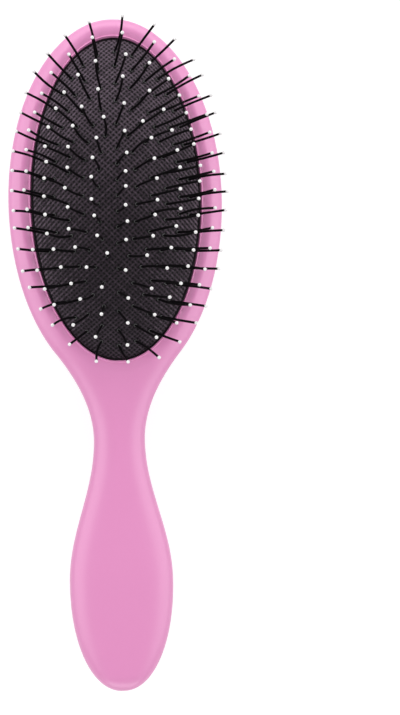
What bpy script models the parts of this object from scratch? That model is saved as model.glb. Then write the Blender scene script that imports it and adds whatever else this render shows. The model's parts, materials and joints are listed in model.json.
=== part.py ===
"""A cushion hair brush: a one-piece plastic body, an air cushion clamped in it, and ball-tipped pins.

Metres, +Z up. The brush lies on its back: +Y runs to the head's top, -Y to the handle's end, and the
pins point to +Z. The origin is on the flat of the back, under the middle of the cushion.
The cushion is cut into an inner crown and five rings around it, and each ring into sectors. A ring
slides straight down by its share of the crown's travel, as the rubber does when the pins are pressed.
"""
import math

import bmesh
import bpy
import numpy as np

# Outline of the body, seen from above
HEAD_HALF_WIDTH = 0.03535
HEAD_LENGTH = 0.0601
HEAD_LOWER_LENGTH = 0.0622
SHOULDER_START = 0.050
SHOULDER_SLOPE_SHARE = 0.80
NECK_Y = 0.0793
NECK_HALF_WIDTH = 0.0084
GRIP_Y = 0.1256
GRIP_HALF_WIDTH = 0.01695
HANDLE_END = 0.1611
HANDLE_END_POWER = 2.12

# Side view of the body: where it is widest, and how high and low it goes there
SIDE_LEVEL = 0.0080
RIM_TOP = 0.0140
NECK_TOP = 0.0136
GRIP_TOP = 0.0154
RIM_HUMP_SHARE = 0.20
NECK_BOTTOM = 0.0014
FLAT_DEPTH_HEAD = 0.0006
FLAT_DEPTH_GRIP = 0.0003
TOP_END_ROUND = 0.0085
BOTTOM_END_ROUND = 0.0240

# Fullness of the cross-section: 2 is an oval, higher is boxier
TOP_POWER = 3.0
NECK_POWER = 2.3
BOTTOM_POWER = 2.2

# Pocket in the head, and the groove that clamps the cushion's edge
PAD_HALF_WIDTH = 0.0279
PAD_HALF_LENGTH = 0.05335
POCKET_FLOOR = 0.0032
POCKET_CORNER_LEVEL = 0.0042
POCKET_WALL_LEVEL = 0.0068
POCKET_FLOOR_INSET = 0.0044
POCKET_CORNER_INSET = 0.0022
GROOVE_DEPTH = 0.0026
GROOVE_BOTTOM = 0.0090
GROOVE_HEIGHT = 0.0020
OVERRUN = 0.0060

# Slope from the rim's crest down to the pocket, and where along it the slope changes
MOUTH_LEVEL = 0.0122
MOUTH_SLOPE_WIDTH = 0.0032
MOUTH_SLOPE_RISE = 0.0018
MOUTH_BEND_WIDTH_SHARE = 0.38
MOUTH_BEND_RISE_SHARE = 0.45

# Clamped edge of the cushion
CLEARANCE = 0.0003
BEAD_LIP = 0.0007
BEAD_LIP_TOP = 0.0125
BEAD_ROUND = 0.0003
BEAD_SKIRT = 0.0006

# Cushion
CUSHION_EDGE = 0.0122
CUSHION_RISE = 0.0075
CUSHION_THICKNESS = 0.0016

# Rings of pins, from the outermost inwards, and the straight row in the middle.
# Their half sizes are shares of the pad's.
RING_WIDTH_SHARES = (0.856, 0.737, 0.573, 0.401, 0.225)
RING_LENGTH_SHARES = (0.908, 0.816, 0.701, 0.587, 0.444)
RING_PINS = (40, 36, 34, 24, 18)
RING_SECTORS = (8, 6, 6, 4, 2)
ROW_LENGTH_SHARE = 0.290
ROW_PINS = 7

# One pin, and how the pins fan out
PIN_LENGTH = 0.0160
PIN_RADIUS = 0.00031
PIN_ROOT_DEPTH = 0.0008
BALL_RADIUS = 0.00072
PIN_SIDES = 4
FAN_ACROSS = math.radians(50.7)
FAN_MIDDLE = -0.00266
FAN_REACH = 0.02035
FAN_END_SPREAD_SHARE = 0.40
FAN_TILT = math.radians(2.2)
FAN_ALONG = math.radians(17.5)
FAN_ALONG_ENDS = math.radians(14.7)

# Fineness of the meshes
OVAL_STEPS = 96
SECTOR_STEPS = 48
BODY_SIDE_POINTS = 13
END_STATIONS = 9
MIDDLE_STATIONS = 44
CROWN_ROWS = 12
MEASURING_STEPS = 2880


def clear_scene():
    """Remove every object, so that the script gives the same result each run."""
    for item in list(bpy.data.objects):
        bpy.data.objects.remove(item)


def material(name, colour, roughness, metallic=0.0):
    """Make a Principled material of one colour."""
    made = bpy.data.materials.new(name)
    made.use_nodes = True
    shader = made.node_tree.nodes["Principled BSDF"]
    shader.inputs["Base Color"].default_value = (*colour, 1.0)
    shader.inputs["Roughness"].default_value = roughness
    shader.inputs["Metallic"].default_value = metallic
    return made


def add_mesh(name, verts, faces, finish):
    """Make an object from points and faces, with its faces turned outwards."""
    mesh = bpy.data.meshes.new(name)
    mesh.from_pydata([tuple(map(float, v)) for v in verts], [], faces)
    mesh.validate()
    shape = bmesh.new()
    shape.from_mesh(mesh)
    bmesh.ops.recalc_face_normals(shape, faces=shape.faces)
    shape.to_mesh(mesh)
    shape.free()
    mesh.materials.append(finish)
    made = bpy.data.objects.new(name, mesh)
    bpy.context.scene.collection.objects.link(made)
    return made


def smooth(item, angle=math.radians(35.0)):
    """Shade smooth, but keep edges sharper than the angle."""
    item.data.shade_smooth()
    item.data.set_sharp_from_angle(angle=angle)


def boolean(item, other, operation):
    """Cut or join another object, which is then a hidden guide."""
    change = item.modifiers.new(operation.lower(), "BOOLEAN")
    change.operation = operation
    change.solver = "EXACT"
    change.material_mode = "TRANSFER"
    change.object = other
    other.hide_render = True
    other.display_type = "WIRE"


def ease(value, start, end):
    """Go from 0 at start to 1 at end, with level ends."""
    share = np.clip((value - start) / (end - start), 0.0, 1.0)
    return share * share * (3.0 - 2.0 * share)


def half_width(y):
    """Half the body's width at a place along it."""
    if y >= -SHOULDER_START:
        reach = HEAD_LENGTH if y >= 0.0 else HEAD_LOWER_LENGTH
        return HEAD_HALF_WIDTH * math.sqrt(max(0.0, 1.0 - (y / reach) ** 2))
    if y >= -NECK_Y:
        run = NECK_Y - SHOULDER_START
        t = (-y - SHOULDER_START) / run
        start = half_width(-SHOULDER_START)
        slope = -SHOULDER_SLOPE_SHARE * run
        return ((2 * t ** 3 - 3 * t ** 2 + 1) * start + (t ** 3 - 2 * t ** 2 + t) * slope
                + (3 * t ** 2 - 2 * t ** 3) * NECK_HALF_WIDTH)
    if y >= -GRIP_Y:
        t = (-y - NECK_Y) / (GRIP_Y - NECK_Y)
        return NECK_HALF_WIDTH + (GRIP_HALF_WIDTH - NECK_HALF_WIDTH) * (1 - math.cos(math.pi * t)) / 2
    t = min(1.0, (-y - GRIP_Y) / (HANDLE_END - GRIP_Y))
    return GRIP_HALF_WIDTH * (1.0 - t ** HANDLE_END_POWER) ** (1.0 / HANDLE_END_POWER)


def end_round(y, length, power):
    """Fall from 1 to 0 towards either end of the body, over the given length."""
    room = min(HEAD_LENGTH - y, y + HANDLE_END)
    share = 1.0 - min(1.0, max(0.0, room / length))
    return (1.0 - share ** power) ** (1.0 / power)


def section(y):
    """Heights above and below the widest level, and the fullness, at a place along the body."""
    to_neck = ease(-y, PAD_HALF_LENGTH, NECK_Y)
    to_grip = ease(-y, NECK_Y, GRIP_Y)
    hump = 1.0 + RIM_HUMP_SHARE * max(0.0, 1.0 - (y / PAD_HALF_LENGTH) ** 2)
    top = (RIM_TOP - SIDE_LEVEL) * hump
    top += to_neck * (NECK_TOP - RIM_TOP) + to_grip * (GRIP_TOP - NECK_TOP)
    bottom = SIDE_LEVEL + FLAT_DEPTH_HEAD
    bottom -= to_neck * (FLAT_DEPTH_HEAD + NECK_BOTTOM)
    bottom += to_grip * (NECK_BOTTOM + FLAT_DEPTH_GRIP)
    power = TOP_POWER + (NECK_POWER - TOP_POWER) * (to_neck - to_grip)
    return (top * end_round(y, TOP_END_ROUND, TOP_POWER),
            bottom * end_round(y, BOTTOM_END_ROUND, BOTTOM_POWER), power)


def body_stations():
    """Places along the body, closer together towards its two round ends."""
    end = 1.0 - np.cos(np.linspace(0.0, math.pi / 2, END_STATIONS))[1:]
    head_end = HEAD_LENGTH - TOP_END_ROUND * end
    handle_end = -HANDLE_END + TOP_END_ROUND * end[::-1]
    middle = np.linspace(head_end[-1], handle_end[0], MIDDLE_STATIONS)[1:-1]
    return np.concatenate([head_end, middle, handle_end])


def make_body(finish):
    """Loft the head and handle through sections that are fuller than ovals."""
    turn = np.linspace(0.0, math.pi, BODY_SIDE_POINTS)
    cos_t = np.cos(turn)
    sin_t = np.sin(turn)
    rings = []
    for y in body_stations():
        wide = half_width(y)
        top, bottom, power = section(y)
        x_top = wide * np.sign(cos_t) * np.abs(cos_t) ** (2.0 / power)
        z_top = SIDE_LEVEL + top * np.abs(sin_t) ** (2.0 / power)
        x_low = -wide * np.sign(cos_t) * np.abs(cos_t) ** (2.0 / BOTTOM_POWER)
        z_low = SIDE_LEVEL - bottom * np.abs(sin_t) ** (2.0 / BOTTOM_POWER)
        loop = [(x, y, z) for x, z in zip(x_top, z_top)]
        loop += [(x, y, z) for x, z in zip(x_low[1:-1], z_low[1:-1])]
        rings.append(loop)
    verts = [(0.0, HEAD_LENGTH, SIDE_LEVEL)] + [v for loop in rings for v in loop]
    verts.append((0.0, -HANDLE_END, SIDE_LEVEL))
    around = len(rings[0])
    last = len(verts) - 1
    faces = [(0, 1 + (i + 1) % around, 1 + i) for i in range(around)]
    for k in range(len(rings) - 1):
        base = 1 + k * around
        for i in range(around):
            j = (i + 1) % around
            faces.append((base + i, base + j, base + around + j, base + around + i))
    base = last - around
    faces += [(base + i, base + (i + 1) % around, last) for i in range(around)]
    body = add_mesh("brush_body", verts, faces, finish)
    flatten_back(body)
    smooth(body)
    return body


def flatten_back(body):
    """Cut the lowest part away level with the origin, which leaves the two flats it rests on."""
    shape = bmesh.new()
    shape.from_mesh(body.data)
    everything = shape.verts[:] + shape.edges[:] + shape.faces[:]
    bmesh.ops.bisect_plane(shape, geom=everything, plane_co=(0, 0, 0), plane_no=(0, 0, 1),
                           clear_inner=True)
    rim = [edge for edge in shape.edges if edge.is_boundary]
    bmesh.ops.holes_fill(shape, edges=rim, sides=0)
    bmesh.ops.recalc_face_normals(shape, faces=shape.faces)
    shape.to_mesh(body.data)
    shape.free()


def oval(outset, angle):
    """A point of the pocket's oval, moved outwards by the outset; angle 0 is at the head's top."""
    return ((PAD_HALF_WIDTH + outset) * math.sin(angle), (PAD_HALF_LENGTH + outset) * math.cos(angle))


def sweep_oval(name, profile, finish, closed):
    """Carry a profile of (outset, height) round the pocket's oval; an open one is capped."""
    verts = []
    for step in range(OVAL_STEPS):
        angle = 2.0 * math.pi * step / OVAL_STEPS
        for outset, height in profile:
            verts.append((*oval(outset, angle), height))
    count = len(profile)
    faces = []
    for step in range(OVAL_STEPS):
        here = step * count
        there = ((step + 1) % OVAL_STEPS) * count
        for i in range(count if closed else count - 1):
            j = (i + 1) % count
            faces.append((here + i, here + j, there + j, there + i))
    if not closed:
        faces.append([step * count for step in range(OVAL_STEPS)])
        faces.append([step * count + count - 1 for step in range(OVAL_STEPS)])
    return add_mesh(name, verts, faces, finish)


def cut_pocket(body, finish):
    """Cut the air chamber, the groove and the mouth out of the head."""
    groove_top = GROOVE_BOTTOM + GROOVE_HEIGHT
    mouth_top = GRIP_TOP + OVERRUN
    bend = (MOUTH_SLOPE_WIDTH * MOUTH_BEND_WIDTH_SHARE,
            MOUTH_LEVEL + MOUTH_SLOPE_RISE * MOUTH_BEND_RISE_SHARE)
    profile = [(-POCKET_FLOOR_INSET, POCKET_FLOOR), (-POCKET_CORNER_INSET, POCKET_CORNER_LEVEL),
               (0.0, POCKET_WALL_LEVEL), (0.0, GROOVE_BOTTOM), (GROOVE_DEPTH, GROOVE_BOTTOM),
               (GROOVE_DEPTH, groove_top), (0.0, groove_top), (0.0, MOUTH_LEVEL), bend,
               (MOUTH_SLOPE_WIDTH, MOUTH_LEVEL + MOUTH_SLOPE_RISE), (MOUTH_SLOPE_WIDTH, mouth_top)]
    boolean(body, sweep_oval("pocket_cutter", profile, finish, closed=False), "DIFFERENCE")


def make_bead(finish):
    """The cushion's edge: a flange held in the groove, and the thin lip that shows round the pad."""
    outer = -CLEARANCE
    inner = outer - BEAD_LIP
    low = GROOVE_BOTTOM + CLEARANCE
    high = GROOVE_BOTTOM + GROOVE_HEIGHT - CLEARANCE
    flange = GROOVE_DEPTH - CLEARANCE
    profile = [(inner, low - BEAD_SKIRT), (outer, low - BEAD_SKIRT), (outer, low), (flange, low),
               (flange, high), (outer, high), (outer, BEAD_LIP_TOP - BEAD_ROUND),
               (outer - BEAD_ROUND, BEAD_LIP_TOP), (inner, BEAD_LIP_TOP)]
    smooth(sweep_oval("cushion_bead", profile, finish, closed=True))


def dome(x, y):
    """Height of the cushion's upper face: a shallow dome over the pocket's oval."""
    return CUSHION_EDGE + CUSHION_RISE * (1.0 - (x / PAD_HALF_WIDTH) ** 2 - (y / PAD_HALF_LENGTH) ** 2)


def lean(x, y):
    """Direction of a pin: the pins fan out to both sides and to both ends."""
    place = y / PAD_HALF_LENGTH
    across = FAN_ACROSS * math.tanh((x - FAN_MIDDLE) / FAN_REACH)
    across *= 1.0 + FAN_END_SPREAD_SHARE * place ** 2
    along = FAN_TILT + FAN_ALONG * place + FAN_ALONG_ENDS * place ** 3
    direction = np.array([math.tan(across), math.tan(along), 1.0])
    return direction / np.linalg.norm(direction)


def pin_mesh(x, y):
    """Points and faces of one pin: a thin shaft from inside the cushion, and its round tip."""
    axis = lean(x, y)
    side = np.cross(axis, (0.0, 1.0, 0.0))
    side /= np.linalg.norm(side)
    other = np.cross(axis, side)
    root = np.array([x, y, dome(x, y)])
    low, high = math.radians(-50.0), math.radians(25.0)
    loops = [(-PIN_ROOT_DEPTH, PIN_RADIUS, 0.0), (PIN_LENGTH - BALL_RADIUS, PIN_RADIUS, 0.0),
             (PIN_LENGTH + BALL_RADIUS * math.sin(low), BALL_RADIUS * math.cos(low), 0.0),
             (PIN_LENGTH + BALL_RADIUS * math.sin(high), BALL_RADIUS * math.cos(high), 0.5)]
    verts = []
    for along, radius, turn in loops:
        for i in range(PIN_SIDES):
            angle = 2.0 * math.pi * (i + turn) / PIN_SIDES
            verts.append(root + axis * along + radius * (math.cos(angle) * side + math.sin(angle) * other))
    verts.append(root + axis * (PIN_LENGTH + BALL_RADIUS))
    faces = [tuple(range(PIN_SIDES))]
    for k in range(2):
        for i in range(PIN_SIDES):
            j = (i + 1) % PIN_SIDES
            a, b = k * PIN_SIDES, (k + 1) * PIN_SIDES
            faces.append((a + i, a + j, b + j, b + i))
    for i in range(PIN_SIDES):
        j = (i + 1) % PIN_SIDES
        a, b = 2 * PIN_SIDES, 3 * PIN_SIDES
        faces.append((a + i, a + j, b + i))
        faces.append((a + j, b + j, b + i))
        faces.append((b + i, b + j, 4 * PIN_SIDES))
    return verts, faces


def add_pins(item, places, finish):
    """Join a group of pins to the slice of cushion that holds them."""
    verts, faces = [], []
    for x, y in places:
        points, sides = pin_mesh(x, y)
        start = len(verts)
        verts += points
        faces += [tuple(start + i for i in side) for side in sides]
    boolean(item, add_mesh(item.name + "_pins", verts, faces, finish), "UNION")


def slab(name, lower_left, lower_right, finish):
    """A slice of cushion between two matched rows of (x, y) points, of even upright thickness."""
    rows = [lower_left, lower_right]
    count = len(lower_left)
    verts = [(x, y, dome(x, y)) for row in rows for x, y in row]
    verts += [(x, y, dome(x, y) - CUSHION_THICKNESS) for row in rows for x, y in row]
    down = 2 * count
    faces = []
    for i in range(count - 1):
        a, b, c, d = i, i + 1, count + i + 1, count + i
        faces += [(a, b, c, d), (down + a, down + d, down + c, down + b)]
        faces += [(a, down + a, down + b, b), (d, c, down + c, down + d)]
    for i in (0, count - 1):
        faces.append((i, count + i, down + count + i, down + i))
    return add_mesh(name, verts, faces, finish)


def angle_at(half_wide, half_long, share):
    """Angle reached after a share of an oval's way round, measured along its edge."""
    turns = math.floor(share)
    angles = np.linspace(0.0, 2.0 * math.pi, MEASURING_STEPS + 1)
    steps = np.hypot(np.diff(half_wide * np.sin(angles)), np.diff(half_long * np.cos(angles)))
    way = np.concatenate([[0.0], np.cumsum(steps)])
    return 2.0 * math.pi * turns + float(np.interp((share - turns) * way[-1], way, angles))


def ring_edges(ring):
    """Half sizes of a ring's inner and outer edge, each half a clearance from the line between rings."""
    wide = [PAD_HALF_WIDTH * share for share in (*RING_WIDTH_SHARES, 0.0)]
    long = [PAD_HALF_LENGTH * share for share in (*RING_LENGTH_SHARES, ROW_LENGTH_SHARE)]
    gap = CLEARANCE / 2.0
    inner = ((wide[ring] + wide[ring + 1]) / 2.0 + gap, (long[ring] + long[ring + 1]) / 2.0 + gap)
    if ring == 0:
        inset = 2.0 * CLEARANCE + BEAD_LIP
        return inner, (PAD_HALF_WIDTH - inset, PAD_HALF_LENGTH - inset)
    return inner, ((wide[ring] + wide[ring - 1]) / 2.0 - gap, (long[ring] + long[ring - 1]) / 2.0 - gap)


def make_sector(ring, sector, finish, pin_finish):
    """One sector of a ring of cushion, with the pins that stand in it."""
    wide, long = PAD_HALF_WIDTH * RING_WIDTH_SHARES[ring], PAD_HALF_LENGTH * RING_LENGTH_SHARES[ring]
    pins, sectors = RING_PINS[ring], RING_SECTORS[ring]
    (in_wide, in_long), (out_wide, out_long) = ring_edges(ring)
    first = round(sector * pins / sectors)
    after = round((sector + 1) * pins / sectors)
    shift = pins // (2 * sectors)
    start = angle_at(wide, long, (first - shift - 0.5) / pins)
    end = angle_at(wide, long, (after - shift - 0.5) / pins)
    start += CLEARANCE / 2.0 / math.hypot(in_wide * math.cos(start), in_long * math.sin(start))
    end -= CLEARANCE / 2.0 / math.hypot(in_wide * math.cos(end), in_long * math.sin(end))
    step = 2.0 * math.pi / SECTOR_STEPS
    between = [step * i for i in range(-SECTOR_STEPS, 2 * SECTOR_STEPS)]
    angles = [start] + [a for a in between if start + step / 4 < a < end - step / 4] + [end]
    inner = [(in_wide * math.sin(a), in_long * math.cos(a)) for a in angles]
    outer = [(out_wide * math.sin(a), out_long * math.cos(a)) for a in angles]
    made = slab(f"ring_{ring + 1}_sector_{sector + 1}", inner, outer, finish)
    places = []
    for pin in range(first - shift, after - shift):
        angle = angle_at(wide, long, pin / pins)
        places.append((wide * math.sin(angle), long * math.cos(angle)))
    add_pins(made, places, pin_finish)
    smooth(made)


def make_crown(finish, pin_finish):
    """The middle slice of the cushion, a slim oval with the straight row of pins."""
    (wide, long), _ = ring_edges(len(RING_PINS) - 1)
    wide -= CLEARANCE
    long -= CLEARANCE
    turns = [math.pi * (i + 0.5) / CROWN_ROWS for i in range(CROWN_ROWS)]
    left = [(-wide * math.sin(t), long * math.cos(t)) for t in turns]
    right = [(wide * math.sin(t), long * math.cos(t)) for t in turns]
    made = slab("cushion_crown", left, right, finish)
    row_half = PAD_HALF_LENGTH * ROW_LENGTH_SHARE
    spacing = 2.0 * row_half / (ROW_PINS - 1)
    places = [(0.0, row_half - spacing * i) for i in range(ROW_PINS)]
    add_pins(made, places, pin_finish)
    smooth(made)


def main():
    """Build the whole brush."""
    clear_scene()
    pink = material("satin pink plastic", (0.78, 0.30, 0.57), 0.35)
    rubber = material("black rubber", (0.015, 0.014, 0.016), 0.60)
    cloth = material("charcoal woven cushion", (0.060, 0.052, 0.060), 0.75)
    nylon = material("black nylon pins", (0.012, 0.012, 0.013), 0.30)
    cut_pocket(make_body(pink), pink)
    make_bead(rubber)
    for ring, sectors in enumerate(RING_SECTORS):
        for sector in range(sectors):
            make_sector(ring, sector, cloth, nylon)
    make_crown(cloth, nylon)


main()
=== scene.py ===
# %% [markdown]
# A cushion hair brush, dressed for its picture
#
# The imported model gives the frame: where each piece sits, and which bodies move. This lesson makes
# the surfaces that are seen: a satin pink body, a woven cushion that bulges out of it, and slim
# black pins with white ball tips. Every shape is worked out with numpy from a few sizes, in metres.

# %% Load the frame
import json
import math

import bpy
import numpy as np
from mathutils import Matrix, Vector

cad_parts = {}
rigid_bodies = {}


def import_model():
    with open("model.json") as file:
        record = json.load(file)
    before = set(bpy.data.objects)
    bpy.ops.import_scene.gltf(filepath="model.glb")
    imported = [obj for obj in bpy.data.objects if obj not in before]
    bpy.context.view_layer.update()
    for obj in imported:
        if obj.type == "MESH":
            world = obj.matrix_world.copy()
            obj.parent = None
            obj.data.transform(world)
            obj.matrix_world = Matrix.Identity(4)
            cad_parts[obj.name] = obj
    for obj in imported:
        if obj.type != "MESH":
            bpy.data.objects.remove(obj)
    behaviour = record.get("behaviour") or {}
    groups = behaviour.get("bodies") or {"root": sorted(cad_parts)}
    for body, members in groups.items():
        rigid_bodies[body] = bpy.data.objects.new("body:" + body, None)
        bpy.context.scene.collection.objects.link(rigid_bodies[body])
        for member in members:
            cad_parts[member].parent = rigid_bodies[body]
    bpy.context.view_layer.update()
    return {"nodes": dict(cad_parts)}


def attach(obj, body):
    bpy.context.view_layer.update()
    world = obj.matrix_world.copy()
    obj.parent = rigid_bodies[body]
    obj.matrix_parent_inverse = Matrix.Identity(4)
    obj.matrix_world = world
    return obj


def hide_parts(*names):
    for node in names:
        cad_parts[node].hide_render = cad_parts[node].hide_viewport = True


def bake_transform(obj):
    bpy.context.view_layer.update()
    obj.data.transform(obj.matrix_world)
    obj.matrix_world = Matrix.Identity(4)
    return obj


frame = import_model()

# %% [markdown]
# The camera comes first, because everything else is judged through it.
#
# The brush is seen almost straight on to its pins, from half a metre away, and it stands in the
# left part of the picture. The camera is turned rather than shifted, so that other views stay
# simple. A lens is a focal length over a sensor: the sensor's width belongs to the picture's
# longer side.

# %% Camera
PICTURE_HEIGHT = 715
SENSOR = 36.0
FOCAL_PIXELS = 1502.8
CAMERA_PLACE = Vector((-0.0244, -0.0704, 0.5041))
CAMERA_AIM = Vector((0.0280, -0.0522, 0.0))
CAMERA_ROLL = math.radians(0.99)


def facing(place, aim, up):
    """Place and turn of a camera or lamp: -Z runs from place to aim, and +Y leans towards up."""
    back = (place - aim).normalized()
    right = up.cross(back).normalized()
    turned = Matrix((right, back.cross(right), back)).transposed().to_4x4()
    return Matrix.Translation(place) @ turned


camera = bpy.data.objects.new("camera", bpy.data.cameras.new("camera"))
bpy.context.scene.collection.objects.link(camera)
camera.data.sensor_width = SENSOR
camera.data.lens = FOCAL_PIXELS * SENSOR / PICTURE_HEIGHT
camera_up = Vector((math.sin(CAMERA_ROLL), math.cos(CAMERA_ROLL), 0.0))
camera.matrix_world = facing(CAMERA_PLACE, CAMERA_AIM, camera_up)
bpy.context.scene.camera = camera
bpy.context.scene.view_settings.view_transform = "Standard"
print("lens in mm:", round(camera.data.lens, 1))

# %% [markdown]
# Sizes of the body. The outline is half an ellipse for the head, a slightly longer half ellipse
# below it, a smooth shoulder down to the neck, a wave out to the grip and a full round end.

# %% Sizes of the body
HEAD_HALF_WIDTH = 0.03535
HEAD_LENGTH = 0.0601
HEAD_LOWER_LENGTH = 0.0622
SHOULDER_START = 0.050
SHOULDER_SLOPE = 0.80
NECK_Y = 0.0793
NECK_HALF_WIDTH = 0.0084
GRIP_Y = 0.1256
GRIP_HALF_WIDTH = 0.01695
HANDLE_END = 0.1611
HANDLE_END_POWER = 2.12
SIDE_LEVEL = 0.0080
RIM_TOP = 0.0140
NECK_TOP = 0.0136
GRIP_TOP = 0.0154
RIM_HUMP = 0.20
NECK_BOTTOM = 0.0014
FLAT_DEPTH_HEAD = 0.0006
FLAT_DEPTH_GRIP = 0.0003
TOP_END_ROUND = 0.0085
BOTTOM_END_ROUND = 0.0240
TOP_POWER = 3.0
NECK_POWER = 2.3
BOTTOM_POWER = 2.2
PAD_HALF_WIDTH = 0.0279
PAD_HALF_LENGTH = 0.05335
LEAST_WIDTH = 1e-9


def ease(value, start, end):
    """Go from 0 at start to 1 at end, level at both: three times the square less twice the cube."""
    share = np.clip((value - start) / (end - start), 0.0, 1.0)
    return share * share * (3.0 - 2.0 * share)


def half_width(y):
    """Half the body's width at each y.

    The head is two half ellipses, the shoulder a cubic through two places with set slopes, the neck
    to grip a half wave of a cosine, and the end a curve a little fuller than an ellipse.
    """
    y = np.asarray(y, float)
    reach = np.where(y >= 0.0, HEAD_LENGTH, HEAD_LOWER_LENGTH)
    head = HEAD_HALF_WIDTH * np.sqrt(np.clip(1.0 - (y / reach) ** 2, 0.0, 1.0))
    run = NECK_Y - SHOULDER_START
    start = HEAD_HALF_WIDTH * math.sqrt(1.0 - (SHOULDER_START / HEAD_LOWER_LENGTH) ** 2)
    t = np.clip((-y - SHOULDER_START) / run, 0.0, 1.0)
    shoulder = ((2 * t ** 3 - 3 * t ** 2 + 1) * start
                - (t ** 3 - 2 * t ** 2 + t) * SHOULDER_SLOPE * run
                + (3 * t ** 2 - 2 * t ** 3) * NECK_HALF_WIDTH)
    t = np.clip((-y - NECK_Y) / (GRIP_Y - NECK_Y), 0.0, 1.0)
    grip = NECK_HALF_WIDTH + (GRIP_HALF_WIDTH - NECK_HALF_WIDTH) * (1.0 - np.cos(math.pi * t)) / 2.0
    t = np.clip((-y - GRIP_Y) / (HANDLE_END - GRIP_Y), 0.0, 1.0)
    end = GRIP_HALF_WIDTH * (1.0 - t ** HANDLE_END_POWER) ** (1.0 / HANDLE_END_POWER)
    above = [y >= -SHOULDER_START, y >= -NECK_Y, y >= -GRIP_Y]
    return np.select(above, [head, shoulder, grip], end)


def end_round(y, length, power):
    """Fall from 1 to 0 over the given length towards either end of the body, as a full curve."""
    room = np.minimum(HEAD_LENGTH - y, y + HANDLE_END)
    share = 1.0 - np.clip(room / length, 0.0, 1.0)
    return (1.0 - share ** power) ** (1.0 / power)


def section(y):
    """Height above the widest level, depth below it, and the upper side's fullness, at each y.

    All three ease from the head's values to the neck's and on to the grip's.
    """
    to_neck = ease(-y, PAD_HALF_LENGTH, NECK_Y)
    to_grip = ease(-y, NECK_Y, GRIP_Y)
    hump = 1.0 + RIM_HUMP * np.clip(1.0 - (y / PAD_HALF_LENGTH) ** 2, 0.0, 1.0)
    top = (RIM_TOP - SIDE_LEVEL) * hump
    top = top + to_neck * (NECK_TOP - RIM_TOP) + to_grip * (GRIP_TOP - NECK_TOP)
    bottom = SIDE_LEVEL + FLAT_DEPTH_HEAD - to_neck * (FLAT_DEPTH_HEAD + NECK_BOTTOM)
    bottom = bottom + to_grip * (NECK_BOTTOM + FLAT_DEPTH_GRIP)
    power = TOP_POWER + (NECK_POWER - TOP_POWER) * (to_neck - to_grip)
    return (top * end_round(y, TOP_END_ROUND, TOP_POWER),
            bottom * end_round(y, BOTTOM_END_ROUND, BOTTOM_POWER), power)


def upper_height(x, y):
    """Height of the upper side at each (x, y): full in the middle, steep towards the outline."""
    top, _, power = section(y)
    share = np.clip(np.abs(x) / np.maximum(half_width(y), LEAST_WIDTH), 0.0, 1.0)
    return SIDE_LEVEL + top * (1.0 - share ** power) ** (1.0 / power)


rim_height = float(upper_height(PAD_HALF_WIDTH, 0.0))
print("rim height beside the pad in mm:", round(rim_height * 1000, 2))

# %% [markdown]
# Numpy arrays become meshes through one helper. Grids of points are turned into quads, edges that
# meet are merged, and the faces are made to point outwards. A closed shape needs no thickness.
# Edges that turn by more than the sharp angle stay crisp, and the rest are shaded smooth.

# %% Arrays to meshes
import bmesh

MERGE = 1e-7
SHARP_ANGLE, SMALL_SHARP_ANGLE = math.radians(50), math.radians(60)


def grid_faces(rows, columns, start=0, wrap=False):
    """Four-sided faces of a grid stored row by row; wrap joins the last column to the first."""
    across = columns if wrap else columns - 1
    r, c = np.meshgrid(np.arange(rows - 1), np.arange(across), indexing="ij")
    here, beside = r * columns + c, r * columns + (c + 1) % columns
    quads = np.stack([here, beside, beside + columns, here + columns], axis=-1).reshape(-1, 4)
    return quads + start


def make_mesh(name, points, faces, sharp=None):
    """Put arrays into a mesh, merge points that meet, turn faces outwards and shade smooth."""
    mesh = bpy.data.meshes.new(name)
    mesh.from_pydata(points.tolist(), [], faces.tolist())
    shape = bmesh.new()
    shape.from_mesh(mesh)
    bmesh.ops.remove_doubles(shape, verts=shape.verts, dist=MERGE)
    bmesh.ops.dissolve_degenerate(shape, edges=shape.edges, dist=MERGE)
    bmesh.ops.recalc_face_normals(shape, faces=shape.faces)
    open_edges = sum(1 for edge in shape.edges if not edge.is_manifold)
    shape.to_mesh(mesh)
    shape.free()
    mesh.shade_smooth()
    if sharp is not None:
        mesh.set_sharp_from_angle(angle=sharp)
    piece = bpy.data.objects.new(name, mesh)
    bpy.context.scene.collection.objects.link(piece)
    print(f"{name}: {len(mesh.vertices)} points, {len(mesh.polygons)} faces,",
          f"{open_edges} open edges")
    return piece


# %% [markdown]
# The body is one moulding. Three fields of quads share their edges, so that it needs no Boolean:
# the head's upper side runs along straight spokes from the pocket's oval to the outline, the
# handle's upper side runs in rows across, and the back runs in rows from end to end. Rows stand
# close where the fields meet, because long thin faces would show there as a mark in the shine. The
# pocket is a profile carried round the same oval, so its mouth gets a true edge that catches light.

# %% Rows and spokes of the body
HEAD_FIELD_END = 0.0580
ROWS_HEAD, ROWS_HANDLE, ROWS_ACROSS = 150, 130, 48
JOINT_MIX = 0.12


def slow_at_both(quarter_wave, share):
    """Mostly half a cosine wave, which is slow at both ends, with a little of a quarter wave."""
    return JOINT_MIX * quarter_wave + (1.0 - JOINT_MIX) * (1.0 - np.cos(share * math.pi)) / 2.0


def stations():
    """Places along the body from the head's top down, closer together at the ends and the joint."""
    share = np.linspace(0.0, 1.0, ROWS_HEAD)
    way = slow_at_both(1.0 - np.cos(share * math.pi / 2.0), share)
    head_y = HEAD_LENGTH - (HEAD_LENGTH + HEAD_FIELD_END) * way
    share = np.linspace(0.0, 1.0, ROWS_HANDLE)
    way = slow_at_both(np.sin(share * math.pi / 2.0), share)
    handle_y = -HEAD_FIELD_END - (HANDLE_END - HEAD_FIELD_END) * way
    return head_y, handle_y


def row_across(y, power):
    """Places across a row from +X to -X, even along a curve of the given fullness."""
    turn = np.cos(np.linspace(0.0, math.pi, ROWS_ACROSS))
    return half_width(y)[:, None] * np.sign(turn) * np.abs(turn) ** (2.0 / power[:, None])


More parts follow.
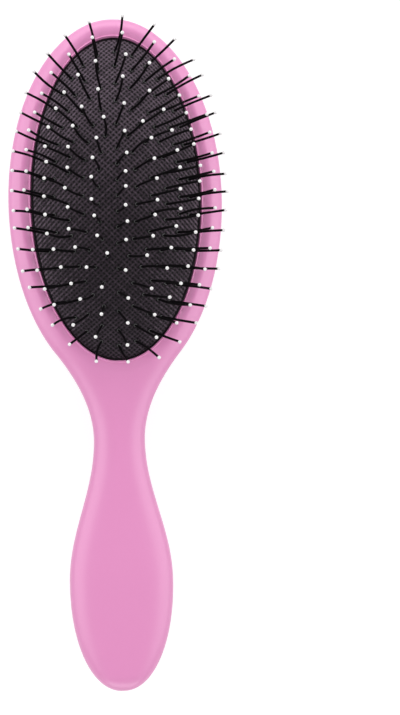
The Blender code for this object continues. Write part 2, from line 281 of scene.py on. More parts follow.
head_y, handle_y = stations()
head_w = half_width(head_y)
line_x = row_across(handle_y[:1], section(handle_y[:1])[2])[0]
outline_x = np.concatenate([head_w, line_x[1:-1], -head_w[::-1][:-1]])
outline_y = np.concatenate([head_y, np.full(len(line_x) - 2, -HEAD_FIELD_END), head_y[::-1][:-1]])
spoke_angle = np.arctan2(outline_x / PAD_HALF_WIDTH, outline_y / PAD_HALF_LENGTH)
print("spokes round the pocket:", len(spoke_angle))

# %% [markdown]
# The rim's inner side is the slope that the picture shows as a darker band round the cushion. It
# is sunk out of the same upper side, less so at the handle's end and the top, and a fine raised
# ledge runs along its very edge.

# %% Fields of the body
SLOPE_WIDTH, SLOPE_DEPTH, SLOPE_POWER = 0.0040, 0.0020, 1.75
SLOPE_FADE_LOW, SLOPE_FADE_LOW_START = 0.6, 0.6
SLOPE_FADE_TOP, SLOPE_FADE_TOP_START = 0.35, 0.5
LEDGE_WIDTH, LEDGE_HEIGHT = 0.00080, 0.00040
SPOKE_STEPS = 56
SPOKE_INNER_POWER, SPOKE_OUTER_POWER = 2.0, 2.4


def pad_oval(outset, angle):
    """Points of the pocket's oval, its half sizes grown by the outset; angle 0 is at the top."""
    return (PAD_HALF_WIDTH + outset) * np.sin(angle), (PAD_HALF_LENGTH + outset) * np.cos(angle)


def spoke_shares():
    """Shares of the way from pocket to outline: fine at the ledge and at the steep outer side."""
    even = np.linspace(0.0, 1.0, SPOKE_STEPS)
    return 1.0 - (1.0 - even ** SPOKE_INNER_POWER) ** SPOKE_OUTER_POWER


def head_field():
    """Upper side of the head: spokes from oval to outline.

    Towards the pocket it sinks with a power of the way left, which makes the rim's inner slope, and
    along the very edge runs a fine raised ledge: a sine squared over its width.
    """
    share = spoke_shares()[:, None]
    inner_x, inner_y = pad_oval(0.0, spoke_angle)
    x = inner_x + share * (outline_x - inner_x)
    y = inner_y + share * (outline_y - inner_y)
    room = share * np.hypot(outline_x - inner_x, outline_y - inner_y)
    near = 1.0 - np.clip(room / SLOPE_WIDTH, 0.0, 1.0)
    fade = SLOPE_FADE_LOW * ease(-np.cos(spoke_angle), SLOPE_FADE_LOW_START, 1.0)
    fade = fade + SLOPE_FADE_TOP * ease(np.cos(spoke_angle), SLOPE_FADE_TOP_START, 1.0)
    sunk = SLOPE_DEPTH * (1.0 - fade) * near ** SLOPE_POWER
    ledge = LEDGE_HEIGHT * np.sin(math.pi * np.clip(room / LEDGE_WIDTH, 0.0, 1.0)) ** 2
    return np.stack([x, y, upper_height(x, y) - sunk + ledge], axis=-1)


def handle_field():
    """Upper side of the handle: rows across, as high as the upper side's formula says."""
    power = section(handle_y)[2]
    x = row_across(handle_y, power)
    y = np.broadcast_to(handle_y[:, None], x.shape)
    return np.stack([x, y, upper_height(x, y)], axis=-1)


def back_field():
    """The back: rows of half ovals that bulge down from the widest level, flat where it rests."""
    y = np.concatenate([head_y, handle_y[1:]])
    turn = np.linspace(0.0, math.pi, ROWS_ACROSS)
    across = np.sign(np.cos(turn)) * np.abs(np.cos(turn)) ** (2.0 / BOTTOM_POWER)
    x = half_width(y)[:, None] * across
    depth = section(y)[1][:, None] * np.abs(np.sin(turn)) ** (2.0 / BOTTOM_POWER)
    z = np.maximum(SIDE_LEVEL - depth, 0.0)
    return np.stack([x, np.broadcast_to(y[:, None], x.shape), z], axis=-1)


top_of_head = head_field()
print("points on the head's upper side:", top_of_head.shape[0] * top_of_head.shape[1])

# %% [markdown]
# The pocket's profile: from the mouth down to the groove that clamps the cushion, and on to the
# rounded floor of the air chamber. The last row shrinks to one point, which closes the floor.

# %% Pocket and body
GROOVE_DEPTH = 0.0026
GROOVE_BOTTOM, GROOVE_TOP = 0.0090, 0.0110
CHAMBER_FLOOR = 0.0032
CHAMBER_PROFILE = ((0.0, 0.0068), (-0.0022, 0.0042), (-0.0044, CHAMBER_FLOOR))


def pocket_field(mouth):
    """Rows round the pocket's oval from the mouth's lowest edge down to the middle of the floor."""
    steps = [(0.0, GROOVE_TOP), (GROOVE_DEPTH, GROOVE_TOP), (GROOVE_DEPTH, GROOVE_BOTTOM),
             (0.0, GROOVE_BOTTOM), *CHAMBER_PROFILE]
    rows = [mouth]
    for outset, level in steps:
        x, y = pad_oval(outset, spoke_angle)
        rows.append(np.stack([x, y, np.full(len(x), level)], axis=-1))
    middle = np.zeros((len(spoke_angle), 3))
    middle[:, 2] = CHAMBER_FLOOR
    return np.stack([*rows, middle])


def join_fields(fields):
    """Stack grids of points into one list of points and one list of faces."""
    points, faces, start = [], [], 0
    for field, wrap in fields:
        rows, columns = field.shape[:2]
        points.append(field.reshape(-1, 3))
        faces.append(grid_faces(rows, columns, start, wrap))
        start += rows * columns
    return np.concatenate(points), np.concatenate(faces)


fields = [(top_of_head, True), (handle_field(), False), (back_field(), False),
          (pocket_field(top_of_head[0]), True)]
body = make_mesh("body_shell", *join_fields(fields), sharp=SHARP_ANGLE)
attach(body, "root")
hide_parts("brush_body")

# %% [markdown]
# The cushion is rubber faced with woven cloth. It is tucked under a thin lip all round, bulges out
# of the pocket like a shallow dome, and dips a little where each pin goes through. First come the
# dome and the places of the pins, which stand along five ovals and one straight row.

# %% Dome and places of the pins
CUSHION_EDGE, CUSHION_RISE, CUSHION_THICKNESS = 0.0122, 0.0075, 0.0024
RING_WIDTHS = PAD_HALF_WIDTH * np.array([0.856, 0.737, 0.573, 0.401, 0.225])
RING_LENGTHS = PAD_HALF_LENGTH * np.array([0.908, 0.816, 0.701, 0.587, 0.444])
RING_PINS = (40, 36, 34, 24, 18)
RING_SAMPLES = 2881
ROW_HALF_LENGTH, ROW_PINS = PAD_HALF_LENGTH * 0.290, 7


def dome(x, y):
    """Height of the cushion: it falls with the square of the distance over its half sizes."""
    left = 1.0 - (x / PAD_HALF_WIDTH) ** 2 - (y / PAD_HALF_LENGTH) ** 2
    return CUSHION_EDGE + CUSHION_RISE * left


def ring_roots(ring):
    """Where a ring's pins stand: evenly spaced along an oval, with one at the top."""
    angle = np.linspace(0.0, 2.0 * math.pi, RING_SAMPLES)
    x, y = RING_WIDTHS[ring] * np.sin(angle), RING_LENGTHS[ring] * np.cos(angle)
    way = np.concatenate([[0.0], np.cumsum(np.hypot(np.diff(x), np.diff(y)))])
    at = np.interp(np.arange(RING_PINS[ring]) / RING_PINS[ring] * way[-1], way, angle)
    return np.stack([RING_WIDTHS[ring] * np.sin(at), RING_LENGTHS[ring] * np.cos(at)], axis=-1)


roots = [ring_roots(ring) for ring in range(len(RING_PINS))]
row_y = np.linspace(ROW_HALF_LENGTH, -ROW_HALF_LENGTH, ROW_PINS)
roots.append(np.stack([np.zeros(ROW_PINS), row_y], axis=-1))
all_roots = np.concatenate(roots)
print("pins:", len(all_roots))

# %% [markdown]
# The skin's points are on ovals inside one another, and its underside follows at the rubber's
# thickness. Nobody sees the underside, so it has only every sixth oval, and it closes in the
# middle in one point. Pressed pins push the middle of the cushion down and leave its edge in
# place.

# %% Cushion
LIP_INSET = 0.0008
DIMPLE_DEPTH, DIMPLE_REACH = 0.00022, 0.0011
SKIN_RINGS, SKIN_COLUMNS, UNDER_STEP = 110, 320, 6


def skin_height(x, y):
    """Height of the cloth: the dome, less a small round dimple at each pin."""
    apart = np.full(x.shape, 1.0)
    for px, py in all_roots:
        apart = np.minimum(apart, np.hypot(x - px, y - py))
    return dome(x, y) - DIMPLE_DEPTH * np.exp(-(apart / DIMPLE_REACH) ** 2)


shares = np.linspace(1.0, 0.0, SKIN_RINGS)[:, None]
around = np.linspace(0.0, 2.0 * math.pi, SKIN_COLUMNS, endpoint=False)[None, :]
skin_x = (PAD_HALF_WIDTH - LIP_INSET) * shares * np.sin(around)
skin_y = (PAD_HALF_LENGTH - LIP_INSET) * shares * np.cos(around)
upper = np.stack([skin_x, skin_y, skin_height(skin_x, skin_y)], axis=-1)
coarse_x, coarse_y = skin_x[::UNDER_STEP], skin_y[::UNDER_STEP]
under = np.stack([coarse_x, coarse_y, dome(coarse_x, coarse_y) - CUSHION_THICKNESS], axis=-1)
under = np.concatenate([under, under[-1:] * [0, 0, 1]])
rim_rows = np.stack([upper[0], under[0]])
skin = make_mesh("cushion_skin", *join_fields([(upper, True), (rim_rows, True), (under, True)]),
                 sharp=SMALL_SHARP_ANGLE)
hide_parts("cushion_crown", *(n for n in frame["nodes"] if n.startswith("ring_")))
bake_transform(skin)

# %% [markdown]
# The cushion's clamped edge shows as a thin dark lip between cloth and plastic. It is a profile
# carried round the oval, with a rounded top, and a flange that sits in the groove.

# %% Clamped edge
CLEARANCE = 0.0003
LIP_GAP = 0.00012
LIP_WIDTH, LIP_TOP, LIP_ROUND, LIP_STEPS = 0.0006, 0.0124, 0.0003, 9


def edge_profile():
    """(outset, height) pairs of the clamped edge: a round lip on top and a flange in the groove."""
    outer, inner = -LIP_GAP, -LIP_GAP - LIP_WIDTH
    middle, half = (outer + inner) / 2.0, LIP_WIDTH / 2.0
    lip = [(middle + half * math.cos(turn), LIP_TOP - LIP_ROUND + LIP_ROUND * math.sin(turn))
           for turn in np.linspace(0.0, math.pi, LIP_STEPS)]
    low, high = GROOVE_BOTTOM + CLEARANCE, GROOVE_TOP - CLEARANCE
    flange = GROOVE_DEPTH - CLEARANCE
    return [*lip, (inner, low), (flange, low), (flange, high), (outer, high)]


def carry_round(profile, columns):
    """Carry (outset, height) pairs round the pocket's oval; the profile closes on itself."""
    turn = np.linspace(0.0, 2.0 * math.pi, columns, endpoint=False)
    rows = []
    for outset, level in [*profile, profile[0]]:
        x, y = pad_oval(outset, turn)
        rows.append(np.stack([x, y, np.full(columns, level)], axis=-1))
    return np.stack(rows)


lip_rows = carry_round(edge_profile(), SKIN_COLUMNS)
edge = make_mesh("cushion_lip", *join_fields([(lip_rows, True)]), sharp=SHARP_ANGLE)
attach(edge, "root")
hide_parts("cushion_bead")

# %% [markdown]
# A pin is a slim nylon rod that leans outwards, more so towards the sides and the ends. Real pins
# never stand quite alike, so each gets a small turn and a slight bow from a seeded draw. A rod is a
# circle carried along a path: all rods of a ring are worked out in one array.

# %% Directions of the pins
FAN_ACROSS, FAN_MIDDLE, FAN_REACH = math.radians(49.7), -0.00266, 0.01985
FAN_END_SPREAD, FAN_TOP_SPREAD = 0.415, 0.10
FAN_ALONG = [math.radians(angle) for angle in (1.75, 17.9, 3.2, 15.2)]
STRAY, BOW, SEED = math.radians(1.5), 0.00030, 5389
draw = np.random.default_rng(SEED)


def directions(places):
    """Direction of each pin: a fan across the head and along it, plus a small stray turn.

    Across, the angle is a smooth step that spreads more towards both ends of the pad, and a little
    more at the top. Along, it is a cubic of the share of the way from the middle to an end.
    """
    x, end = places[:, 0], places[:, 1] / PAD_HALF_LENGTH
    spread = 1.0 + FAN_END_SPREAD * end ** 2 + FAN_TOP_SPREAD * end
    across = FAN_ACROSS * np.tanh((x - FAN_MIDDLE) / FAN_REACH) * spread
    along = sum(angle * end ** power for power, angle in enumerate(FAN_ALONG))
    stray = draw.normal(0.0, STRAY, (len(places), 2))
    slopes = np.tan(across + stray[:, 0]), np.tan(along + stray[:, 1])
    aim = np.stack([*slopes, np.ones(len(x))], axis=-1)
    return aim / np.linalg.norm(aim, axis=1, keepdims=True)


def pin_frames(places):
    """Root, direction and two side directions of each pin."""
    aim = directions(places)
    side = np.cross(aim, (0.0, 1.0, 0.0))
    side /= np.linalg.norm(side, axis=1, keepdims=True)
    root = np.stack([places[:, 0], places[:, 1], dome(places[:, 0], places[:, 1])], axis=-1)
    return root, aim, side, np.cross(aim, side)


print("widest lean of the fan in degrees:", round(math.degrees(FAN_ACROSS), 1))

# %% [markdown]
# Each pin ends in a small white ball, as a rule a drop of lacquer that has set round, so that it
# doesn't scratch. A few dozen faces are enough for something about a millimetre across.

# %% Rods and balls
PIN_LENGTH, PIN_RADIUS, PIN_TAPER = 0.0160, 0.00042, 0.93
PIN_ROOT_DEPTH = 0.0006
PIN_STEPS, PIN_SIDES = 7, 8
BALL_RADIUS, BALL_ROWS, BALL_SIDES = 0.00060, 7, 10
ROD_SHORT_OF_BALL = 0.5


def circles(side, other, count):
    """A circle of unit radius round each pin, from its two side directions."""
    turn = np.linspace(0.0, 2.0 * math.pi, count, endpoint=False)
    return (np.cos(turn)[None, :, None] * side[:, None, :]
            + np.sin(turn)[None, :, None] * other[:, None, :])


def pin_paths(root, aim, side, other):
    """Points along each pin: straight from root to ball, plus a bow that is widest half way."""
    share = np.linspace(0.0, 1.0, PIN_STEPS)
    short = BALL_RADIUS * ROD_SHORT_OF_BALL
    reach = -PIN_ROOT_DEPTH + share * (PIN_LENGTH + PIN_ROOT_DEPTH - short)
    bow = draw.normal(0.0, BOW, (len(root), 2))
    bend = np.sin(math.pi * share)[None, :, None]
    sideways = bow[:, :1, None] * side[:, None, :] + bow[:, 1:, None] * other[:, None, :]
    return root[:, None, :] + reach[None, :, None] * aim[:, None, :] + bend * sideways


def rods(paths, side, other, radii):
    """Circles of the given radii carried along each path; the two end circles shrink to points."""
    circle = circles(side, other, PIN_SIDES)
    points = paths[:, :, None, :] + radii[None, :, None, None] * circle[:, None, :, :]
    return points.reshape(len(paths), len(radii), PIN_SIDES, 3)


def balls(centre, aim, side, other, radius):
    """Small globes round each centre: circles whose radius follows the sine from pole to pole."""
    polar = np.linspace(0.0, math.pi, BALL_ROWS)
    along = np.cos(polar)[None, :, None, None] * aim[:, None, None, :]
    out = np.sin(polar)[None, :, None, None] * circles(side, other, BALL_SIDES)[:, None]
    return centre[:, None, None, :] + radius * (along + out)


def join_grids(name, grids, sharp=None):
    """One mesh from many wrapped grids of the same size."""
    count, rows, columns = grids.shape[:3]
    one = grid_faces(rows, columns, 0, True)
    faces = (one[None] + (np.arange(count) * rows * columns)[:, None, None]).reshape(-1, 4)
    return make_mesh(name, grids.reshape(-1, 3), faces, sharp)


# %% [markdown]
# One mesh holds all the rods of a ring and one all its balls. Each ring of pins rides on its own
# body, because the cushion sinks further in the middle than near its edge.

# %% Pins and tips
rod_radii = np.linspace(PIN_RADIUS, PIN_RADIUS * PIN_TAPER, PIN_STEPS)
rod_radii = np.concatenate([[0.0], rod_radii, [0.0]])
pin_pieces, tip_pieces, collar_places = [], [], []
for ring, places in enumerate(roots):
    label = f"ring_{ring + 1}" if ring < len(RING_PINS) else "crown"
    root, aim, side, other = pin_frames(places)
    paths = pin_paths(root, aim, side, other)
    closed = np.concatenate([paths[:, :1], paths, paths[:, -1:]], axis=1)
    pins = join_grids(f"pins_{label}", rods(closed, side, other, rod_radii), SMALL_SHARP_ANGLE)
    centre = paths[:, -1] + aim * BALL_RADIUS * ROD_SHORT_OF_BALL
    tips = join_grids(f"tips_{label}", balls(centre, aim, side, other, BALL_RADIUS))
    for piece, slot_name in ((pins, "pin_nylon"), (tips, "pin_tip")):
        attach(piece, f"cushion_{label}")
    pin_pieces.append(pins)
    tip_pieces.append(tips)
    collar_places.append((root, aim, side, other))

# %% [markdown]
# Where a pin comes through the cloth, a small moulded collar grips it.

# %% Collars
COLLAR_SIDES = 12
COLLAR_PROFILE = ((0.00020, -0.0004), (0.00074, -0.0004), (0.00072, 0.00002), (0.00062, 0.00020),
                  (0.00046, 0.00028), (0.00020, 0.00024))


def collars(groups):
    """Flat rings round the pins: a closed profile of (radius, height) turned about each pin."""
    root, aim, side, other = (np.concatenate(parts) for parts in zip(*groups))
    profile = np.array([*COLLAR_PROFILE, COLLAR_PROFILE[0]])
    ring = circles(side, other, COLLAR_SIDES)
    out = profile[None, :, 0, None, None] * ring[:, None, :, :]
    up = profile[None, :, 1, None, None] * aim[:, None, None, :]
    return root[:, None, None, :] + out + up


collar = join_grids("pin_collars", collars(collar_places), SMALL_SHARP_ANGLE)
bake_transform(collar)

# %% [markdown]
# Finishes are node trees. A shared effect is a node group with named sockets, built once. A few
# helpers make the nodes, so that the trees below read like sums.

# %% Node helpers
def group(name, inputs, outputs):
    """An empty shader group with the given sockets, and its input and output nodes."""
    tree = bpy.data.node_groups.new(name, "ShaderNodeTree")
    for label, kind, default in inputs:
        socket = tree.interface.new_socket(label, in_out="INPUT", socket_type=kind)
        socket.default_value = default
    for label, kind in outputs:
        tree.interface.new_socket(label, in_out="OUTPUT", socket_type=kind)
    return tree, tree.nodes.new("NodeGroupInput"), tree.nodes.new("NodeGroupOutput")


def math_node(tree, operation, first, second=None):
    """A Math node whose inputs are sockets or numbers; gives its output."""
    node = tree.nodes.new("ShaderNodeMath")
    node.operation = operation
    for slot_index, value in enumerate((first, second)):
        if value is None:
            continue
        if isinstance(value, (int, float)):
            node.inputs[slot_index].default_value = value
        else:
            tree.links.new(value, node.inputs[slot_index])
    return node.outputs[0]


def plus(tree, first, second):
    """The sum of two sockets or numbers."""
    return math_node(tree, "ADD", first, second)


def times(tree, first, second):
    """The product of two sockets or numbers."""
    return math_node(tree, "MULTIPLY", first, second)


def mix_colour(tree, share, first, second):
    """Blend two colours by a share; each is a socket or an (r, g, b) triple."""
    node = tree.nodes.new("ShaderNodeMix")
    node.data_type = "RGBA"
    for label, value in (("Factor", share), ("A", first), ("B", second)):
        socket = next(s for s in node.inputs if s.name == label and s.enabled)
        if isinstance(value, tuple):
            socket.default_value = (*value, 1.0)
        elif isinstance(value, (int, float)):
            socket.default_value = value
        else:
            tree.links.new(value, socket)
    return next(s for s in node.outputs if s.enabled)


# %% [markdown]
# The first shared effect is fine grain: the slight unevenness of every moulded surface, as a value
# around one half. A broad noise gives the slow changes over a piece and a fine one the surface.

# %% Grain group
BROAD_SCALE, BROAD_SHARE, FINE_SHARE, FINE_DETAIL = 28.0, 0.6, 0.4, 3.0


def grain_group():
    """Value around 0.5 from two sizes of noise, and a height from the finer one."""
    tree, enter, leave = group("moulded grain", [("Scale", "NodeSocketFloat", 900.0)],
                               [("Tone", "NodeSocketFloat"), ("Height", "NodeSocketFloat")])
    place = tree.nodes.new("ShaderNodeTexCoord")
    fine = tree.nodes.new("ShaderNodeTexNoise")
    broad = tree.nodes.new("ShaderNodeTexNoise")
    broad.inputs["Scale"].default_value = BROAD_SCALE
    fine.inputs["Detail"].default_value = FINE_DETAIL
    tree.links.new(enter.outputs["Scale"], fine.inputs["Scale"])
    for node in (fine, broad):
        tree.links.new(place.outputs["Object"], node.inputs["Vector"])
    tone = plus(tree, times(tree, broad.outputs["Fac"], BROAD_SHARE),
                times(tree, fine.outputs["Fac"], FINE_SHARE))
    tree.links.new(tone, leave.inputs["Tone"])
    tree.links.new(fine.outputs["Fac"], leave.inputs["Height"])
    return tree


moulded_grain = grain_group()
print("node groups:", [g.name for g in bpy.data.node_groups])

# %% [markdown]
# The cloth is a net of two sets of yarns on the slant, each passing over and under the other, with
# dark holes between. It is stretched over the dome, so the holes stand wider apart in the middle
# than at the edge. Turning the object's x and y by an angle gives two counts of yarns. The whole
# part of a count says which yarn it is, and the rest how far across that yarn a place lies. The
# yarns are painted paler near the cloth's edge and towards the head's top, and darker towards the
# handle: a painted sheen in place of the lamps' shine on the yarns. On each side of the middle line,
# the yarns that rise towards it are lifted above those that cross them, in the bump and in the
# colour: partly painted sheen from the side lamps.

# %% Weave group
WEAVE_SIZES = (("Pitch", 0.00136), ("Angle", math.radians(45.0)), ("Half Yarn", 0.33),
               ("Stretch", 0.13), ("Half Width", PAD_HALF_WIDTH), ("Half Length", PAD_HALF_LENGTH))
# Painted sheen: the yarns' tone is raised near the edge and towards the head's top, lowered towards
# the handle.
PAINTED_SHEEN_MIDDLE, PAINTED_SHEEN_TO_TOP, PAINTED_SHEEN_TO_EDGE = 0.66, 0.78, 0.80
# Partly painted sheen: the lean lifts one set of yarns above the other towards each side, in bump
# and colour.
YARN_LEVEL, YARN_WAVE, YARN_LEAN_AND_SHEEN = 0.74, 0.20, 0.22
TWIST_ACROSS, TWIST_ALONG, TWIST_HEIGHT = 5.0, 2.0, 0.06
FIRST_TONES, SECOND_TONES = 0.0, 500.0


def turned_counts(tree, enter):
    """Counts of yarns both ways, the cloth's painted sheen, and how far one set stands above the
    other.

    x and y grow a little with the square of the share of the way to the edge, are turned by the
    angle, and are divided by the pitch. The painted sheen, a paler tone in place of the lamps' shine
    on the yarns, grows with the same square and towards the head's top, and falls towards the
    handle. The lean between the sets is the share of the way from the middle line to a side, and is
    partly painted sheen as well.
    """
    place = tree.nodes.new("ShaderNodeTexCoord")
    split = tree.nodes.new("ShaderNodeSeparateXYZ")
    tree.links.new(place.outputs["Object"], split.inputs[0])
    shares = [math_node(tree, "DIVIDE", split.outputs[axis], enter.outputs[half])
              for axis, half in (("X", "Half Width"), ("Y", "Half Length"))]
    square = plus(tree, *(math_node(tree, "POWER", share, 2.0) for share in shares))
    grow = plus(tree, times(tree, square, enter.outputs["Stretch"]), 1.0)
    grow = math_node(tree, "DIVIDE", grow, enter.outputs["Pitch"])
    x, y = (times(tree, split.outputs[axis], grow) for axis in ("X", "Y"))
    cos_a = math_node(tree, "COSINE", enter.outputs["Angle"])
    sin_a = math_node(tree, "SINE", enter.outputs["Angle"])
    u = plus(tree, times(tree, x, cos_a), times(tree, y, sin_a))
    v = math_node(tree, "SUBTRACT", times(tree, y, cos_a), times(tree, x, sin_a))
    pale = plus(tree, times(tree, shares[1], PAINTED_SHEEN_TO_TOP), times(tree, square, PAINTED_SHEEN_TO_EDGE))
    return u, v, plus(tree, pale, PAINTED_SHEEN_MIDDLE), times(tree, shares[0], YARN_LEAN_AND_SHEEN)


def yarn(tree, enter, across, along, lean, sign, tones):
    """Height and tone of one set of yarns.

    Across a yarn the height is a half round. Along it a cosine wave lifts it over every second yarn
    of the other set and dips it under the rest, and the lean lifts or sinks the whole set, which is
    partly painted sheen. Fine slanted lines are its twist, and a random number for each yarn is its
    tone.
    """
    whole = math_node(tree, "FLOOR", across)
    aside = math_node(tree, "SUBTRACT", math_node(tree, "FRACT", across), 0.5)
    share = math_node(tree, "ABSOLUTE", aside)
    share = math_node(tree, "DIVIDE", share, enter.outputs["Half Yarn"])
    round_part = math_node(tree, "SUBTRACT", 1.0, math_node(tree, "POWER", share, 2.0))
    profile = math_node(tree, "SQRT", math_node(tree, "MAXIMUM", round_part, 0.0))
    turn = plus(tree, math_node(tree, "SUBTRACT", along, 0.5), whole)
    wave = math_node(tree, "COSINE", times(tree, turn, math.pi))
    lifted = plus(tree, times(tree, wave, YARN_WAVE * sign), YARN_LEVEL)
    # Partly painted sheen: the lean lifts this set on one side of the middle line and sinks it on
    # the other.
    lifted = plus(tree, lifted, times(tree, lean, sign))
    phase = plus(tree, times(tree, across, TWIST_ACROSS), times(tree, along, TWIST_ALONG))
    twist = math_node(tree, "SINE", times(tree, phase, 2.0 * math.pi))
    lifted = plus(tree, lifted, times(tree, twist, TWIST_HEIGHT))
    noise = tree.nodes.new("ShaderNodeTexWhiteNoise")
    noise.noise_dimensions = "1D"
    tree.links.new(plus(tree, whole, tones), noise.inputs["W"])
    return times(tree, profile, lifted), noise.outputs["Value"]


def weave_group():
    """Height of the net, the tone of the yarn on top, and the cloth's painted sheen, at each place.
    """
    inputs = [(label, "NodeSocketFloat", value) for label, value in WEAVE_SIZES]
    outputs = [(label, "NodeSocketFloat") for label in ("Height", "Tone", "Painted Sheen")]
    tree, enter, leave = group("slanted weave", inputs, outputs)
    u, v, painted_sheen, lean = turned_counts(tree, enter)
    tree.links.new(painted_sheen, leave.inputs["Painted Sheen"])
    first, first_tone = yarn(tree, enter, u, v, lean, 1.0, FIRST_TONES)
    second, second_tone = yarn(tree, enter, v, u, lean, -1.0, SECOND_TONES)
    tree.links.new(math_node(tree, "MAXIMUM", first, second), leave.inputs["Height"])
    first_on_top = math_node(tree, "GREATER_THAN", first, second)
    second_on_top = math_node(tree, "SUBTRACT", 1.0, first_on_top)
    tone = plus(tree, times(tree, first_tone, first_on_top),
                times(tree, second_tone, second_on_top))
    tree.links.new(tone, leave.inputs["Tone"])
    return tree


slanted_weave = weave_group()
print("nodes in the weave:", len(slanted_weave.nodes))

# %% [markdown]
# A material is one Principled shader with a colour from a node group. What is the same all over a
# surface is written on the shader's own socket, because an exported model keeps it only there.

# %% Material helpers
def finish(name, roughness, **sockets):
    """A material with its Principled shader; sockets are plain values set on the shader itself."""
    made = bpy.data.materials.new(name)
    made.use_nodes = True
    shader = made.node_tree.nodes["Principled BSDF"]
    shader.inputs["Roughness"].default_value = roughness
    for label, value in sockets.items():
        shader.inputs[label.replace("_", " ")].default_value = value
    return made, made.node_tree, shader


def place_group(tree, source, **values):
    """Put a node group into a material with its own values."""
    node = tree.nodes.new("ShaderNodeGroup")
    node.node_tree = source
    for label, value in values.items():
        node.inputs[label].default_value = value
    return node


def add_bump(tree, shader, height, strength, distance):
    """Feed a height into the shader's normal."""
    bump = tree.nodes.new("ShaderNodeBump")
    bump.inputs["Strength"].default_value = strength
    bump.inputs["Distance"].default_value = distance
    tree.links.new(height, bump.inputs["Height"])
    tree.links.new(bump.outputs["Normal"], shader.inputs["Normal"])


# %% [markdown]
# The body is satin moulded plastic, which mirrors lamps as broad soft bands and not as sharp spots.
# One colour and one roughness would look painted, so the grain moves both a little.

# %% Pink plastic
PLASTIC_DARK, PLASTIC_LIGHT = (0.755, 0.256, 0.522), (0.795, 0.285, 0.562)
PLASTIC_ROUGHNESS, PLASTIC_UNEVENNESS = 0.28, 0.10


def pink_plastic():
    """Satin moulded plastic: one pink with a faint unevenness in tone and gloss."""
    made, tree, shader = finish("satin pink plastic", roughness=0.34, Specular_IOR_Level=0.75)
    grain = place_group(tree, moulded_grain, Scale=1400.0)
    colour = mix_colour(tree, grain.outputs["Tone"], PLASTIC_DARK, PLASTIC_LIGHT)
    tree.links.new(colour, shader.inputs["Base Color"])
    gloss = plus(tree, times(tree, grain.outputs["Tone"], PLASTIC_UNEVENNESS), PLASTIC_ROUGHNESS)
    tree.links.new(gloss, shader.inputs["Roughness"])
    add_bump(tree, shader, grain.outputs["Height"], strength=0.08, distance=0.0001)
    return made


body.data.materials.append(pink_plastic())
print("body:", body.data.materials[0].name)

# %% [markdown]
# The cloth takes its colour from the weave: charcoal yarns that differ a little from one to the
# next, over nearly black holes, with a painted sheen that makes the yarns paler near the edge and
# towards the head's top. It has very little shine, so it stays dark in the white surround.

# %% Charcoal cloth
THREAD_DARK, THREAD_LIGHT = (0.008, 0.003, 0.008), (0.195, 0.142, 0.188)
HOLE_COLOUR, HOLE_POWER = (0.002, 0.0015, 0.002), 2.0
TONE_OF_YARN, TONE_OF_GRAIN = 0.4, 0.6


def cushion_cloth():
    """Charcoal cloth: lighter yarns on the slant over dark holes, satin at the yarns' crests."""
    made, tree, shader = finish("charcoal cloth", roughness=0.36, Specular_IOR_Level=0.12)
    weave = place_group(tree, slanted_weave)
    grain = place_group(tree, moulded_grain, Scale=2500.0)
    tone = plus(tree, times(tree, weave.outputs["Tone"], TONE_OF_YARN),
                times(tree, grain.outputs["Tone"], TONE_OF_GRAIN))
    # Painted sheen: the yarns are made paler near the edge and towards the head's top, darker
    # towards the handle.
    tone = times(tree, tone, weave.outputs["Painted Sheen"])
    thread = mix_colour(tree, tone, THREAD_DARK, THREAD_LIGHT)
    raised = math_node(tree, "POWER", weave.outputs["Height"], HOLE_POWER)
    tree.links.new(mix_colour(tree, raised, HOLE_COLOUR, thread), shader.inputs["Base Color"])
    add_bump(tree, shader, weave.outputs["Height"], strength=1.0, distance=0.0003)
    return made


skin.data.materials.append(cushion_cloth())
print("cushion:", skin.data.materials[0].name)

# %% [markdown]
# The small parts are black rubber, black nylon and white lacquer. They share one recipe, which
# mixes two nearly equal colours by the grain. The collars are the glossiest, because each catches
# a glint of the lamps.

# %% Small parts
NEARLY_BLACK, DARK_GREY = (0.004, 0.003, 0.004), (0.010, 0.008, 0.010)


def plain_moulding(name, dark, light, roughness, scale, **sockets):
    """A moulded piece of nearly one colour, with the shared grain in its tone and surface."""
    made, tree, shader = finish(name, roughness, **sockets)
    grain = place_group(tree, moulded_grain, Scale=scale)
    colour = mix_colour(tree, grain.outputs["Tone"], dark, light)
    tree.links.new(colour, shader.inputs["Base Color"])
    add_bump(tree, shader, grain.outputs["Height"], strength=0.05, distance=0.00005)
    return made


rubber = plain_moulding("black rubber", NEARLY_BLACK, DARK_GREY,
                        roughness=0.60, scale=2000.0, Specular_IOR_Level=0.1)
edge.data.materials.append(rubber)
shiny = plain_moulding("black collars", NEARLY_BLACK, DARK_GREY, roughness=0.20, scale=2000.0)
collar.data.materials.append(shiny)
nylon = plain_moulding("black nylon", (0.001, 0.001, 0.001), (0.004, 0.003, 0.004),
                       roughness=0.45, scale=4000.0, Specular_IOR_Level=0.08)
for piece in pin_pieces:
    piece.data.materials.append(nylon)
white = plain_moulding("white tips", (0.88, 0.87, 0.87), (0.95, 0.945, 0.94),
                       roughness=0.25, scale=4000.0)
for piece in tip_pieces:
    piece.data.materials.append(white)
print("materials:", len(bpy.data.materials))

# %% [markdown]
# The studio: a pale floor, a white surround and broad soft lamps, so that shadows are faint and the
# rounded edges of the plastic pick up the white around them. What the camera, gloss and glass see
# of floor and surround is white; the light that falls on the object is not raised for that.

# %% Floor
FLOOR_SIZE, FLOOR_DROP = 3.0, 0.0002
FLOOR_COLOUR = (0.42, 0.42, 0.42, 1.0)
FLOOR_GLOW = {"From Min": 0.25, "From Max": 0.70, "To Min": 0.76, "To Max": 1.0}


def seen_directly(tree):
    """1 for camera, mirror and glass rays; 0 for the light that lands on things."""
    path = tree.nodes.new("ShaderNodeLightPath")
    total = math_node(tree, "MAXIMUM", path.outputs["Is Camera Ray"], path.outputs["Is Glossy Ray"])
    return math_node(tree, "MAXIMUM", total, path.outputs["Is Transmission Ray"])


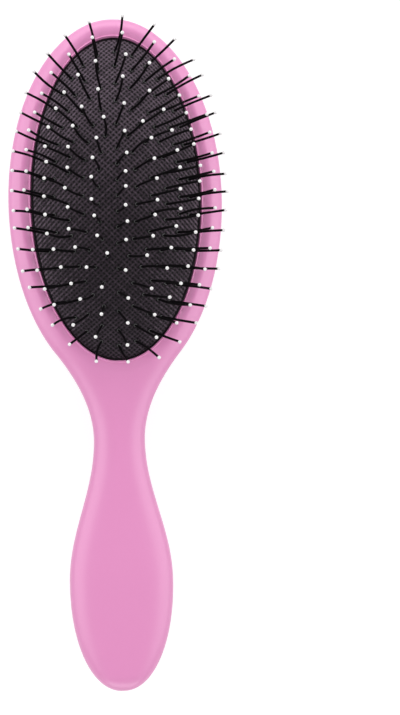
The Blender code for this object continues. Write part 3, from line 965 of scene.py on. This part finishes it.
def floor_finish():
    """Pale floor: a diffuse surface whose shadow stays, with light added to what is seen of it.

    Far from the brush the lamps don't reach, so the added light grows with distance to full white.
    """
    made = bpy.data.materials.new("pale floor")
    made.use_nodes = True
    tree = made.node_tree
    tree.nodes.remove(tree.nodes["Principled BSDF"])
    output = next(n for n in tree.nodes if n.type == "OUTPUT_MATERIAL")
    diffuse = tree.nodes.new("ShaderNodeBsdfDiffuse")
    diffuse.inputs["Color"].default_value = FLOOR_COLOUR
    glow = tree.nodes.new("ShaderNodeEmission")
    place = tree.nodes.new("ShaderNodeTexCoord")
    apart = tree.nodes.new("ShaderNodeVectorMath")
    apart.operation = "LENGTH"
    tree.links.new(place.outputs["Object"], apart.inputs[0])
    far = tree.nodes.new("ShaderNodeMapRange")
    far.interpolation_type = "SMOOTHSTEP"
    for label, value in FLOOR_GLOW.items():
        far.inputs[label].default_value = value
    tree.links.new(apart.outputs["Value"], far.inputs["Value"])
    strength = times(tree, seen_directly(tree), far.outputs["Result"])
    tree.links.new(strength, glow.inputs["Strength"])
    both = tree.nodes.new("ShaderNodeAddShader")
    tree.links.new(diffuse.outputs[0], both.inputs[0])
    tree.links.new(glow.outputs[0], both.inputs[1])
    tree.links.new(both.outputs[0], output.inputs["Surface"])
    return made


half = FLOOR_SIZE / 2.0
corners = [(-half, -half, 0), (half, -half, 0), (half, half, 0), (-half, half, 0)]
floor_mesh = bpy.data.meshes.new("floor")
floor_mesh.from_pydata(corners, [], [(0, 1, 2, 3)])
floor = bpy.data.objects.new("floor", floor_mesh)
bpy.context.scene.collection.objects.link(floor)
floor.location.z = -FLOOR_DROP
floor_mesh.materials.append(floor_finish())
print("floor in m:", FLOOR_SIZE)

# %% [markdown]
# The surround is a plain white world. It lights the brush only faintly, and shows as full white
# to the camera and in the plastic's shine.

# %% Surround
WORLD_LIGHT = 0.22

world = bpy.data.worlds.new("surround")
bpy.context.scene.world = world
world.use_nodes = True
sky = world.node_tree
background = sky.nodes["Background"]
background.inputs["Color"].default_value = (1.0, 1.0, 1.0, 1.0)
lift = times(sky, seen_directly(sky), 1.0 - WORLD_LIGHT)
sky.links.new(plus(sky, lift, WORLD_LIGHT), background.inputs["Strength"])
print("light from the surround:", WORLD_LIGHT)

# %% [markdown]
# Four soft boxes stand low round the brush. The rounded sides of the satin plastic mirror the left
# and the right one, which draws the paler bands along the handle. A wide one beyond the head's top
# gives the rim its shine and the collars their glints, and one beyond the handle's end fills in.
# A lamp's power is worked out from its glow: 1 is as bright as white paper in plain light.

# %% Lamps
LAMP_AIM = Vector((0.0, -0.05, 0.0))
LAMPS = (("left box", (-0.50, 0.0, 0.30), 0.80, 0.58, 1.7),
         ("right box", (0.50, 0.0, 0.30), 0.80, 0.58, 1.65),
         ("top box", (0.0, 0.55, 0.30), 1.00, 0.50, 1.85),
         ("end box", (0.0, -0.62, 0.17), 0.60, 0.32, 2.1))


def softbox(name, place, width, height, glow):
    """A level soft box that faces the brush; its power is pi times its area times its glow."""
    lamp = bpy.data.lights.new(name, "AREA")
    lamp.shape = "RECTANGLE"
    lamp.size, lamp.size_y = width, height
    lamp.energy = math.pi * width * height * glow
    made = bpy.data.objects.new(name, lamp)
    made.matrix_world = facing(Vector(place), LAMP_AIM, Vector((0.0, 0.0, 1.0)))
    bpy.context.scene.collection.objects.link(made)
    return made


lamps = [softbox(*row) for row in LAMPS]
print("lamps:", [lamp.name for lamp in lamps])
